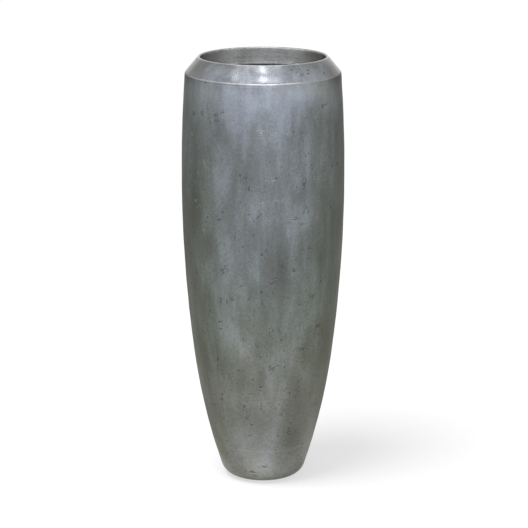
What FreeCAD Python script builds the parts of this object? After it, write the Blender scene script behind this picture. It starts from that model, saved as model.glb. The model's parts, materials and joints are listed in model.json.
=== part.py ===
"""Tall aluminium floor planter with a lift-out planting liner.

The vessel is a turned, polished aluminium shell in three welded pieces: a base pan, a barrel wall and a
coned collar with a rounded lip.  A shelf ring inside sits on welded brackets and carries a black plastic
liner, which hangs by its flange and lifts out by two swinging wire handles.  A rubber bung closes its drain.
All sizes are millimetres.  The origin is on the floor, on the planter's axis, and +Z points up.
"""

import FreeCAD
import Part
import math
import os
from typing import NamedTuple

from FreeCAD import Vector

# Outline of the vessel
planter_height = 1000.0
belly_diameter = 377.0
barrel_rise = 246.5        # from the widest point up to the shoulder crease
shoulder_inset = 9.4       # how far the crease lies inside the belly
collar_height = 36.5       # from the crease up to the top of the lip
collar_run = 28.0          # how far the collar leans in below its lip
shoulder_round = 8.0
hip_height = 301.5         # where the gentle barrel turns into the tighter flank
foot_diameter = 181.0      # flank carried down to the underside
foot_round = 34.5

# Walls and seams
wall_thickness = 4.5
base_seam_height = 89.5    # weld between the base and the wall
lip_round = 3.0            # the collar is two of these thick and has a full round lip
collar_skirt = 8.0         # collar below the crease, down to the weld seam
inner_shoulder_round = 4.0

# Foot ring under the base pan
foot_lift = 2.0
foot_ring_width = 9.0
foot_ring_groove = 2.0
foot_ring_inset = 4.0      # from the end of the foot round to the ring
foot_ring_slack = 0.1

# Shelf that carries the liner
shelf_drop = 78.0          # from the lip down to the shelf
shelf_thickness = 4.0
shelf_wall_gap = 0.4
flange_bearing = 10.0      # how far the liner's flange lies on the shelf

# Brackets under the shelf
bracket_count = 4
bracket_turn = 45.0
bracket_width = 32.0
bracket_reach = 42.0
bracket_drop = 46.0
bracket_plate = 4.0
bracket_weld_gap = 0.3

# Screws that hold the shelf down
screw_diameter = 5.0
screw_head_diameter = 9.5
screw_head_height = 3.2
screw_head_round = 1.2
screw_socket_across = 3.0
screw_socket_depth = 1.8
screw_bite = 8.0           # length below the shelf
screw_hole_slack = 0.3
screw_thread_slack = 0.05
screw_from_wall = 17.0

# Liner pot
mouth_clearance = 6.0      # between the liner's flange and the lip
flange_thickness = 3.0
flange_edge_round = 1.2
pot_gap = 2.5              # between the pot and the shelf's bore
pot_depth = 300.0
pot_wall = 3.0
pot_taper = 22.0           # loss of radius from the band to the foot
band_height = 46.0
band_step = 3.0
band_slope = 4.0
pot_foot_round = 12.0
pot_inner_round = 9.0
pot_foot_width = 10.0
pot_floor_lift = 8.0
floor_slope = 4.0

# Swinging handles
wire_diameter = 4.0
handle_half_width = 42.0
handle_length = 82.0
handle_bend = 6.0
handle_corner = 14.0
handle_gap = 4.5           # between the hanging handle and the pot's wall
pivot_drop = 15.0          # pivot axis below the shelf
pin_slack = 0.06
pin_tip = 3.0
lug_thickness = 6.0
lug_radius = 6.5
lug_gap = 1.0
grip_diameter = 12.0
grip_length = 50.0
grip_end_round = 3.0
grip_slack = 0.05

# Drain bung
drain_diameter = 20.0
bung_slack = 0.1
bung_head_overlap = 6.0
bung_head_height = 4.0
bung_head_round = 1.5
bung_stem_below = 5.0
bung_stem_taper = 0.6
bung_neck_diameter = 8.0
bung_neck_height = 5.0
bung_knob_diameter = 15.0
bung_knob_height = 7.0
bung_knob_round = 2.5

Y_AXIS = Vector(0, 1, 0)
Z_AXIS = Vector(0, 0, 1)
ORIGIN = Vector(0, 0, 0)


def at(radius, height):
    """A point of the section, which lies in the XZ plane."""
    return Vector(radius, 0, height)


class Sweep(NamedTuple):
    """A circle of the section.  The vessel's outline is a chain of touching circles and one line."""

    centre: Vector
    radius: float

    def inset(self, depth):
        return Sweep(self.centre, self.radius - depth)

    def at_height(self, height):
        """The outer point of the circle at a height."""
        rise = height - self.centre.z
        return at(self.centre.x + math.sqrt(self.radius ** 2 - rise ** 2), height)

    def along(self, target):
        """The point of the circle in the direction of another point."""
        return self.centre + (target - self.centre).normalize() * self.radius

    def arc(self, start, end):
        middle = (start - self.centre) + (end - self.centre)
        return Part.Arc(start, self.centre + middle.normalize() * self.radius, end).toShape()


class Slant(NamedTuple):
    """A straight line of the section, with its unit direction.  Its outer side is on the right of it."""

    start: Vector
    direction: Vector

    def inset(self, depth):
        outward = Vector(self.direction.z, 0, -self.direction.x)
        return Slant(self.start - outward * depth, self.direction)

    def at_height(self, height):
        return self.start + self.direction * ((height - self.start.z) / self.direction.z)

    def along(self, target):
        """The point of the line that is nearest to another point."""
        return self.start + self.direction * (target - self.start).dot(self.direction)

    def enter(self, circle):
        """The point where the line goes into a circle."""
        nearest = self.along(circle.centre)
        half_chord = math.sqrt(circle.radius ** 2 - nearest.distanceToPoint(circle.centre) ** 2)
        return nearest - self.direction * half_chord


def nested_at_height(outer, radius, height):
    """The circle of this radius that touches a line or circle from inside, with its centre at a height."""
    return Sweep(outer.inset(radius).at_height(height), radius)


def nested_between(circle, slant, radius):
    """The circle of this radius that touches a circle and a line from inside, where the line goes in."""
    return Sweep(slant.inset(radius).enter(circle.inset(radius)), radius)


def line(start, end):
    return Part.LineSegment(start, end).toShape()


def turned(edges):
    """Turns a closed section about the planter's axis."""
    face = Part.Face(Part.Wire(Part.__sortEdges__(edges)))
    return face.revolve(ORIGIN, Z_AXIS, 360)


def rounded(corners):
    """Edges of a closed section given by its corners, each (radius, height, rounding)."""
    points = [at(r, z) for r, z, _ in corners]
    ends = []
    edges = []
    for index, (_, _, rounding) in enumerate(corners):
        corner = points[index]
        if rounding == 0:
            ends.append((corner, corner))
            continue
        back = (points[index - 1] - corner).normalize()
        ahead = (points[(index + 1) % len(points)] - corner).normalize()
        half_angle = back.getAngle(ahead) / 2
        run = rounding / math.tan(half_angle)
        inward = (back + ahead).normalize()
        crown = corner + inward * (rounding / math.sin(half_angle) - rounding)
        start, end = corner + back * run, corner + ahead * run
        edges.append(Part.Arc(start, crown, end).toShape())
        ends.append((start, end))
    for index in range(len(points)):
        leave, arrive = ends[index - 1][1], ends[index][0]
        edges.append(line(leave, arrive))
    return edges


def cylinder(diameter, start, length, direction=Z_AXIS):
    return Part.makeCylinder(diameter / 2, length, start, direction)


def around(shape, count, first_angle):
    """Copies of a shape spaced evenly about the planter's axis."""
    copies = []
    for index in range(count):
        copy = shape.copy()
        copy.rotate(ORIGIN, Z_AXIS, first_angle + index * 360 / count)
        copies.append(copy)
    return copies


# Circles of the vessel's section
belly_radius = belly_diameter / 2
crease = at(belly_radius - shoulder_inset, planter_height - collar_height)
belly_height = crease.z - barrel_rise
underside = foot_lift

barrel_radius = (shoulder_inset ** 2 + barrel_rise ** 2) / (2 * shoulder_inset)
barrel = Sweep(at(belly_radius - barrel_radius, belly_height), barrel_radius)

hip = barrel.at_height(hip_height)
inward_at_hip = (barrel.centre - hip).normalize()
hip_to_foot = at(foot_diameter / 2, underside) - hip
flank_radius = hip_to_foot.Length ** 2 / (2 * inward_at_hip.dot(hip_to_foot))
flank = Sweep(hip + inward_at_hip * flank_radius, flank_radius)

foot = nested_at_height(flank, foot_round, underside + foot_round)

lip_height = planter_height - lip_round
cone = Slant(crease, (at(crease.x - collar_run, lip_height) - crease).normalize())
shoulder = nested_between(barrel, cone, shoulder_round)
lip = nested_at_height(cone, lip_round, lip_height)
collar_thickness = 2 * lip_round
collar_seam_height = crease.z - collar_skirt

# Levels and radii shared by the shelf, the liner and what hangs in it
mouth_radius = lip.centre.x - lip_round
shelf_height = planter_height - shelf_drop
shelf_underside = shelf_height - shelf_thickness
flange_radius = mouth_radius - mouth_clearance
shelf_bore_radius = flange_radius - flange_bearing
band_radius = shelf_bore_radius - pot_gap
inner_wall = barrel.inset(wall_thickness)
inner_flank = flank.inset(wall_thickness)
shelf_radius = inner_wall.at_height(shelf_height).x - shelf_wall_gap
screw_radius = shelf_radius - screw_from_wall

pot_underside = shelf_height + flange_thickness - pot_depth
floor_underside = pot_underside + pot_floor_lift
floor_top = floor_underside + pot_wall
drain_radius = drain_diameter / 2

band_bottom = shelf_height - band_height
step_bottom = band_bottom - band_slope
taper_radius = band_radius - band_step
foot_edge_radius = taper_radius - pot_taper
inner_band_radius = band_radius - pot_wall

pivot_height = shelf_height - pivot_drop
grip_height = pivot_height - handle_length
lug_start = handle_half_width + handle_bend + lug_gap
pin_end = lug_start + lug_thickness + pin_tip

# A handle hangs as near the wall as its pins and its lower corners allow
taper_share = (step_bottom - grip_height) / (step_bottom - pot_underside)
wall_at_grip = taper_radius - pot_wall - pot_taper * taper_share
room_at_pins = math.sqrt(inner_band_radius ** 2 - pin_end ** 2)
room_at_corners = math.sqrt(wall_at_grip ** 2 - handle_half_width ** 2)
pivot_x = min(room_at_pins, room_at_corners) - wire_diameter / 2 - handle_gap


def base_pan():
    """Deep pan that closes the bottom: flat floor, rounded edge, low wall and a groove for the foot ring."""
    inner_foot = foot.inset(wall_thickness)
    floor_start = at(foot.centre.x, underside)
    inner_floor = at(foot.centre.x, underside + wall_thickness)
    turn = flank.along(foot.centre)
    inner_turn = inner_flank.along(foot.centre)
    seam = flank.at_height(base_seam_height)
    inner_seam = inner_flank.at_height(base_seam_height)
    pan = turned([
        line(at(0, underside), floor_start),
        foot.arc(floor_start, turn),
        flank.arc(turn, seam),
        line(seam, inner_seam),
        inner_flank.arc(inner_seam, inner_turn),
        inner_foot.arc(inner_turn, inner_floor),
        line(inner_floor, at(0, underside + wall_thickness)),
        line(at(0, underside + wall_thickness), at(0, underside)),
    ])
    return pan.cut(ring_band(foot_ring_slack, underside, underside + foot_ring_groove + foot_ring_slack))


def ring_band(slack, bottom, top):
    """The foot ring's band, or the groove that takes it."""
    outer_radius = foot.centre.x - foot_ring_inset
    outer = cylinder(2 * (outer_radius + slack), at(0, bottom), top - bottom)
    inner = cylinder(2 * (outer_radius - foot_ring_width - slack), at(0, bottom), top - bottom)
    return outer.cut(inner)


def foot_ring():
    """Flat rubber ring that the planter stands on."""
    return ring_band(0, 0, underside + foot_ring_groove)


def body_wall():
    """Barrel of the vessel, from the weld above the foot to the weld under the shoulder."""
    inner_hip = inner_wall.along(hip)
    outer_bottom = flank.at_height(base_seam_height)
    inner_bottom = inner_flank.at_height(base_seam_height)
    outer_top = barrel.at_height(collar_seam_height)
    inner_top = inner_wall.at_height(collar_seam_height)
    return turned([
        flank.arc(outer_bottom, hip),
        barrel.arc(hip, outer_top),
        line(outer_top, inner_top),
        inner_wall.arc(inner_top, inner_hip),
        inner_flank.arc(inner_hip, inner_bottom),
        line(inner_bottom, outer_bottom),
    ])


def shoulder_collar():
    """Coned collar with its shoulder, short skirt and full round lip."""
    skirt = barrel.at_height(collar_seam_height)
    shoulder_low = barrel.along(shoulder.centre)
    shoulder_high = cone.along(shoulder.centre)
    lip_outer = cone.along(lip.centre)
    lip_top = lip.centre + Vector(0, 0, lip_round)
    inner_cone = cone.inset(collar_thickness)
    lip_inner = inner_cone.along(lip.centre)
    inner_barrel = barrel.inset(collar_thickness)
    inner_shoulder = nested_between(inner_barrel, inner_cone, inner_shoulder_round)
    inner_high = inner_cone.along(inner_shoulder.centre)
    inner_low = inner_barrel.along(inner_shoulder.centre)
    inner_skirt = inner_barrel.at_height(collar_seam_height)
    return turned([
        barrel.arc(skirt, shoulder_low),
        shoulder.arc(shoulder_low, shoulder_high),
        line(shoulder_high, lip_outer),
        Part.Arc(lip_outer, lip_top, lip_inner).toShape(),
        line(lip_inner, inner_high),
        inner_shoulder.arc(inner_high, inner_low),
        inner_barrel.arc(inner_low, inner_skirt),
        line(inner_skirt, skirt),
    ])


def shelf_ring():
    """Flat ring that carries the liner's flange, with clearance holes for its screws."""
    ring = cylinder(2 * shelf_radius, at(0, shelf_underside), shelf_thickness)
    ring = ring.cut(cylinder(2 * shelf_bore_radius, at(0, shelf_underside), shelf_thickness))
    hole = cylinder(screw_diameter + 2 * screw_hole_slack, at(screw_radius, shelf_underside), shelf_thickness)
    for placed in around(hole, bracket_count, bracket_turn):
        ring = ring.cut(placed)
    return ring


def shelf_brackets():
    """Welded brackets: a plate under the shelf, a leg rolled to the wall and a gusset between them."""
    bottom = shelf_underside - bracket_drop
    weld_face = inner_wall.inset(bracket_weld_gap)
    leg_face = weld_face.inset(bracket_plate)
    top_back = weld_face.at_height(shelf_underside)
    low_back = weld_face.at_height(bottom)
    top_front = leg_face.at_height(shelf_underside)
    low_front = leg_face.at_height(bottom)
    plate_front = top_back.x - bracket_reach
    plate_bottom = shelf_underside - bracket_plate
    leg = turned([
        weld_face.arc(low_back, top_back),
        line(top_back, top_front),
        leg_face.arc(top_front, low_front),
        line(low_front, low_back),
    ])
    plate_back = weld_face.at_height(plate_bottom)
    plate = turned([
        weld_face.arc(plate_back, top_back),
        line(top_back, at(plate_front, shelf_underside)),
        line(at(plate_front, shelf_underside), at(plate_front, plate_bottom)),
        line(at(plate_front, plate_bottom), plate_back),
    ])
    span = Part.makeBox(2 * bracket_reach, bracket_width, bracket_drop,
                        Vector(plate_front, -bracket_width / 2, bottom))
    gusset_front = at(plate_front + bracket_plate, plate_bottom)
    gusset_back = leg_face.at_height(plate_bottom)
    gusset_low = leg_face.at_height(bottom + bracket_plate)
    gusset_section = Part.Wire([
        line(gusset_front, gusset_back),
        leg_face.arc(gusset_back, gusset_low),
        line(gusset_low, gusset_front),
    ])
    gusset = Part.Face(gusset_section).extrude(Vector(0, bracket_plate, 0))
    gusset.translate(Vector(0, -bracket_plate / 2, 0))
    bracket = leg.fuse(plate).common(span).fuse(gusset).removeSplitter()
    tapped = cylinder(screw_diameter + 2 * screw_thread_slack, at(screw_radius, bottom), bracket_drop)
    bracket = bracket.cut(tapped)
    return Part.makeCompound(around(bracket, bracket_count, bracket_turn))


def shelf_screws():
    """Socket screws that hold the shelf down on its brackets."""
    head_radius = screw_head_diameter / 2
    shank_radius = screw_diameter / 2
    head_top = shelf_height + screw_head_height
    tip = shelf_underside - screw_bite
    screw = turned(rounded([
        (0, tip, 0),
        (shank_radius, tip, 0),
        (shank_radius, shelf_height, 0),
        (head_radius, shelf_height, 0),
        (head_radius, head_top, screw_head_round),
        (0, head_top, 0),
    ]))
    hexagon = [Vector(screw_socket_across / math.sqrt(3) * math.cos(math.radians(60 * side)),
                      screw_socket_across / math.sqrt(3) * math.sin(math.radians(60 * side)),
                      head_top - screw_socket_depth) for side in range(7)]
    socket = Part.Face(Part.makePolygon(hexagon)).extrude(Vector(0, 0, screw_socket_depth))
    screw = screw.cut(socket)
    screw.translate(Vector(screw_radius, 0, 0))
    return Part.makeCompound(around(screw, bracket_count, bracket_turn))


def liner_pot():
    """Moulded liner: flange, straight band, tapered wall, standing foot, raised floor and handle lugs."""
    top = shelf_height + flange_thickness
    stand_inner = foot_edge_radius - pot_foot_round - pot_foot_width
    pot = turned(rounded([
        (inner_band_radius, top, flange_edge_round),
        (flange_radius, top, flange_edge_round),
        (flange_radius, shelf_height, flange_edge_round),
        (band_radius, shelf_height, 0),
        (band_radius, band_bottom, 0),
        (taper_radius, step_bottom, 0),
        (foot_edge_radius, pot_underside, pot_foot_round),
        (stand_inner, pot_underside, 0),
        (stand_inner - floor_slope, floor_underside, 0),
        (drain_radius, floor_underside, 0),
        (drain_radius, floor_top, 0),
        (foot_edge_radius - pot_wall, floor_top, pot_inner_round),
        (taper_radius - pot_wall, step_bottom, 0),
        (inner_band_radius, band_bottom, 0),
    ]))
    for lug in handle_lugs():
        pot = pot.fuse(lug)
    return pot.removeSplitter()


def handle_lugs():
    """Moulded eyes on the inside of the band, two for each handle, rooted halfway into its wall."""
    mid_wall = cylinder(2 * band_radius - pot_wall, at(0, band_bottom), band_height)
    lugs = []
    for side in (1, -1):
        for start in (lug_start, -lug_start - lug_thickness):
            pivot = Vector(side * pivot_x, start, pivot_height)
            nose = cylinder(2 * lug_radius, pivot, lug_thickness, Y_AXIS)
            web_corner = Vector(min(pivot.x, side * band_radius), start, pivot_height - lug_radius)
            web = Part.makeBox(band_radius - pivot_x, lug_thickness, 2 * lug_radius, web_corner)
            pin_hole = cylinder(wire_diameter + 2 * pin_slack, pivot, lug_thickness, Y_AXIS)
            lugs.append(nose.fuse(web).common(mid_wall).cut(pin_hole))
    return lugs


def handle_wire(side):
    """Bail of round wire, hanging from its two lugs."""
    x = side * pivot_x

    def spot(y, z):
        return Vector(x, y, z)

    diagonal = math.sqrt(0.5)
    half = handle_half_width
    bend, corner = handle_bend, handle_corner
    left_run = [
        line(spot(-pin_end, pivot_height), spot(-half - bend, pivot_height)),
        Part.Arc(spot(-half - bend, pivot_height),
                 spot(-half - bend + bend * diagonal, pivot_height - bend + bend * diagonal),
                 spot(-half, pivot_height - bend)).toShape(),
        line(spot(-half, pivot_height - bend), spot(-half, grip_height + corner)),
        Part.Arc(spot(-half, grip_height + corner),
                 spot(-half + corner - corner * diagonal, grip_height + corner - corner * diagonal),
                 spot(-half + corner, grip_height)).toShape(),
    ]
    right_run = [edge.mirror(ORIGIN, Y_AXIS) for edge in left_run]
    grip_run = line(spot(-half + corner, grip_height), spot(half - corner, grip_height))
    path = Part.Wire(Part.__sortEdges__(left_run + [grip_run] + right_run))
    end_circle = Part.Wire(Part.makeCircle(wire_diameter / 2, spot(-pin_end, pivot_height), Y_AXIS))
    return path.makePipeShell([end_circle], True, False)


def handle_grip(side):
    """Moulded sleeve on the middle of a handle."""
    bore = wire_diameter / 2 + grip_slack
    half_length = grip_length / 2
    sleeve = turned(rounded([
        (bore, -half_length, 0),
        (grip_diameter / 2, -half_length, grip_end_round),
        (grip_diameter / 2, half_length, grip_end_round),
        (bore, half_length, 0),
    ]))
    sleeve.rotate(ORIGIN, Vector(1, 0, 0), 90)
    sleeve.translate(Vector(side * pivot_x, 0, grip_height))
    return sleeve


def drain_bung():
    """Rubber bung, pushed into the drain hole from inside, with a knob to pull it by."""
    head = drain_radius + bung_head_overlap
    stem = drain_radius - bung_slack
    tip = floor_underside - bung_stem_below
    head_top = floor_top + bung_head_height
    knob_bottom = head_top + bung_neck_height
    knob_top = knob_bottom + bung_knob_height
    neck = bung_neck_diameter / 2
    knob = bung_knob_diameter / 2
    return turned(rounded([
        (0, tip, 0),
        (stem - bung_stem_taper, tip, 0),
        (stem, floor_underside, 0),
        (stem, floor_top, 0),
        (head, floor_top, 0),
        (head, head_top, bung_head_round),
        (neck, head_top, 0),
        (neck, knob_bottom, 0),
        (knob, knob_bottom, bung_knob_round),
        (knob, knob_top, bung_knob_round),
        (0, knob_top, 0),
    ]))


pieces = {
    "base_pan": base_pan(),
    "foot_ring": foot_ring(),
    "body_wall": body_wall(),
    "shoulder_collar": shoulder_collar(),
    "shelf_ring": shelf_ring(),
    "shelf_brackets": shelf_brackets(),
    "shelf_screws": shelf_screws(),
    "liner_pot": liner_pot(),
    "left_handle_wire": handle_wire(-1),
    "left_handle_grip": handle_grip(-1),
    "right_handle_wire": handle_wire(1),
    "right_handle_grip": handle_grip(1),
    "drain_bung": drain_bung(),
}

os.makedirs("parts", exist_ok=True)
for name, shape in pieces.items():
    shape.exportStep(f"parts/{name}.step")
    print(f"{name}: {len(shape.Solids)} solid(s), valid {shape.isValid()}, {shape.Volume / 1000:.1f} cm3")
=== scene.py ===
"""Looks of a tall aluminium floor planter with a lift-out planting liner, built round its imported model."""

import json
import math

import bpy
import numpy as np
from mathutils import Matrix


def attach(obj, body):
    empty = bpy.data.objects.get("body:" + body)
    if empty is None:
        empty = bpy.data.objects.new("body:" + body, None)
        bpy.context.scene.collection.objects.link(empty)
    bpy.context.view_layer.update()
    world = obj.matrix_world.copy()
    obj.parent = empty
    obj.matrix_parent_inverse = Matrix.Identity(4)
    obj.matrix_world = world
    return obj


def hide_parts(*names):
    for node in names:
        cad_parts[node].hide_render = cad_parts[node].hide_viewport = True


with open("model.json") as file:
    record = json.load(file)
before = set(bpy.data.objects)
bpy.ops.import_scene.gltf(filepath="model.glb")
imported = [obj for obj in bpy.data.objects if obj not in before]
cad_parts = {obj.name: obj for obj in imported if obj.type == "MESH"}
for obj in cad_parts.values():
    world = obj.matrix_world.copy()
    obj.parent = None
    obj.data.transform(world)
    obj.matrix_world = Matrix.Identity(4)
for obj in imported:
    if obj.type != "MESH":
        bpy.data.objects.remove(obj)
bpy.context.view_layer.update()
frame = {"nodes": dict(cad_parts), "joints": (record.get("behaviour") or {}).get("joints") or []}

# Base pan: the deep foot of the vessel, turned from aluminium, with a flat floor and a rounded edge.
# A groove underneath holds the foot ring. The pan is welded to the wall 90 mm up, and the weld is ground
# to a faint bead. The vessel's outline and metal are made here, because this piece needs them first.
planter_height = 1.0
belly_radius = 0.1885
barrel_rise = 0.2465       # from the widest point up to the shoulder crease
shoulder_inset = 0.0094    # how far the crease lies inside the belly
collar_height = 0.0365     # from the crease up to the top of the lip
collar_skirt = 0.008       # from the crease down to the collar's weld
hip_height = 0.3015        # where the gentle barrel turns into the tighter flank
foot_radius = 0.0905       # the flank carried down to the underside
foot_round = 0.0345
foot_lift = 0.002          # from the ground up to the underside
wall_thickness = 0.0045
pan_seam = 0.0895          # height of the pan's weld
groove_inside = 0.0527
groove_outside = 0.0619
groove_top = 0.0041


def outer_point(hub, radius, height):
    """The point of a circle of the section at a height, on the side away from the planter's axis."""
    return np.array((hub[0] + math.sqrt(radius ** 2 - (height - hub[1]) ** 2), height))


def point_towards(hub, radius, target):
    """The point of a circle of the section in the direction of another point."""
    return hub + (target - hub) * radius / np.linalg.norm(target - hub)


crease_height = planter_height - collar_height
collar_seam = crease_height - collar_skirt
barrel_radius = (shoulder_inset ** 2 + barrel_rise ** 2) / (2 * shoulder_inset)
barrel_hub = np.array((belly_radius - barrel_radius, crease_height - barrel_rise))
hip = outer_point(barrel_hub, barrel_radius, hip_height)
inward_at_hip = (barrel_hub - hip) / barrel_radius
hip_to_foot = np.array((foot_radius, foot_lift)) - hip
flank_radius = (hip_to_foot @ hip_to_foot) / (2 * (inward_at_hip @ hip_to_foot))
flank_hub = hip + inward_at_hip * flank_radius
foot_hub = outer_point(flank_hub, flank_radius - foot_round, foot_lift + foot_round)
foot_flat = foot_hub[0]
pan_edge = outer_point(flank_hub, flank_radius, pan_seam)
inner_pan_edge = outer_point(flank_hub, flank_radius - wall_thickness, pan_seam)


def turned_piece(name, start, strokes, around):
    """Draws a section in the XZ plane, stroke by stroke, and turns it about the planter's axis.
    A stroke is (end, steps) for a straight line, or (end, steps, hub) for an arc about a hub."""
    bpy.ops.object.select_all(action="DESELECT")
    bpy.ops.mesh.primitive_plane_add(size=0.001, location=(start[0], 0, start[1]))
    bpy.ops.object.transform_apply(location=True, rotation=True, scale=True)
    piece = bpy.context.object
    piece.name = name
    piece.data.name = name
    bpy.ops.object.mode_set(mode="EDIT")
    bpy.ops.mesh.select_mode(type="VERT")
    bpy.ops.mesh.select_all(action="SELECT")
    bpy.ops.mesh.merge(type="CENTER")
    here = start
    for end, steps, *arc_hub in strokes:
        if arc_hub:
            hub = arc_hub[0]
            sweep = (math.atan2(end[1] - hub[1], end[0] - hub[0])
                     - math.atan2(here[1] - hub[1], here[0] - hub[0]))
            sweep = (sweep + math.pi) % (2 * math.pi) - math.pi
            bpy.ops.mesh.spin(steps=steps, angle=sweep, center=(hub[0], 0, hub[1]), axis=(0, 1, 0))
        else:
            move = ((end[0] - here[0]) / steps, 0, (end[1] - here[1]) / steps)
            for _ in range(steps):
                bpy.ops.mesh.extrude_region_move(TRANSFORM_OT_translate={"value": move})
        here = end
    bpy.ops.mesh.select_all(action="SELECT")
    bpy.ops.mesh.spin(steps=around, angle=2 * math.pi, center=(0, 0, 0), axis=(0, 0, 1))
    bpy.ops.mesh.select_all(action="SELECT")
    bpy.ops.mesh.remove_doubles(threshold=5e-5)
    bpy.ops.mesh.normals_make_consistent(inside=False)
    bpy.ops.object.mode_set(mode="OBJECT")
    bpy.ops.object.shade_smooth_by_angle(angle=math.radians(35))
    return piece


base_pan = turned_piece("base_pan_turned", (0, foot_lift), [
    ((groove_inside, foot_lift), 4),
    ((groove_inside, groove_top), 1),
    ((groove_outside, groove_top), 1),
    ((groove_outside, foot_lift), 1),
    ((foot_flat, foot_lift), 1),
    (point_towards(flank_hub, flank_radius, foot_hub), 12, foot_hub),
    (pan_edge, 13, flank_hub),
    (inner_pan_edge, 1),
    (point_towards(flank_hub, flank_radius - wall_thickness, foot_hub), 6, flank_hub),
    ((foot_flat, foot_lift + wall_thickness), 6, foot_hub),
    ((0, foot_lift + wall_thickness), 4),
], 216)


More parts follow.
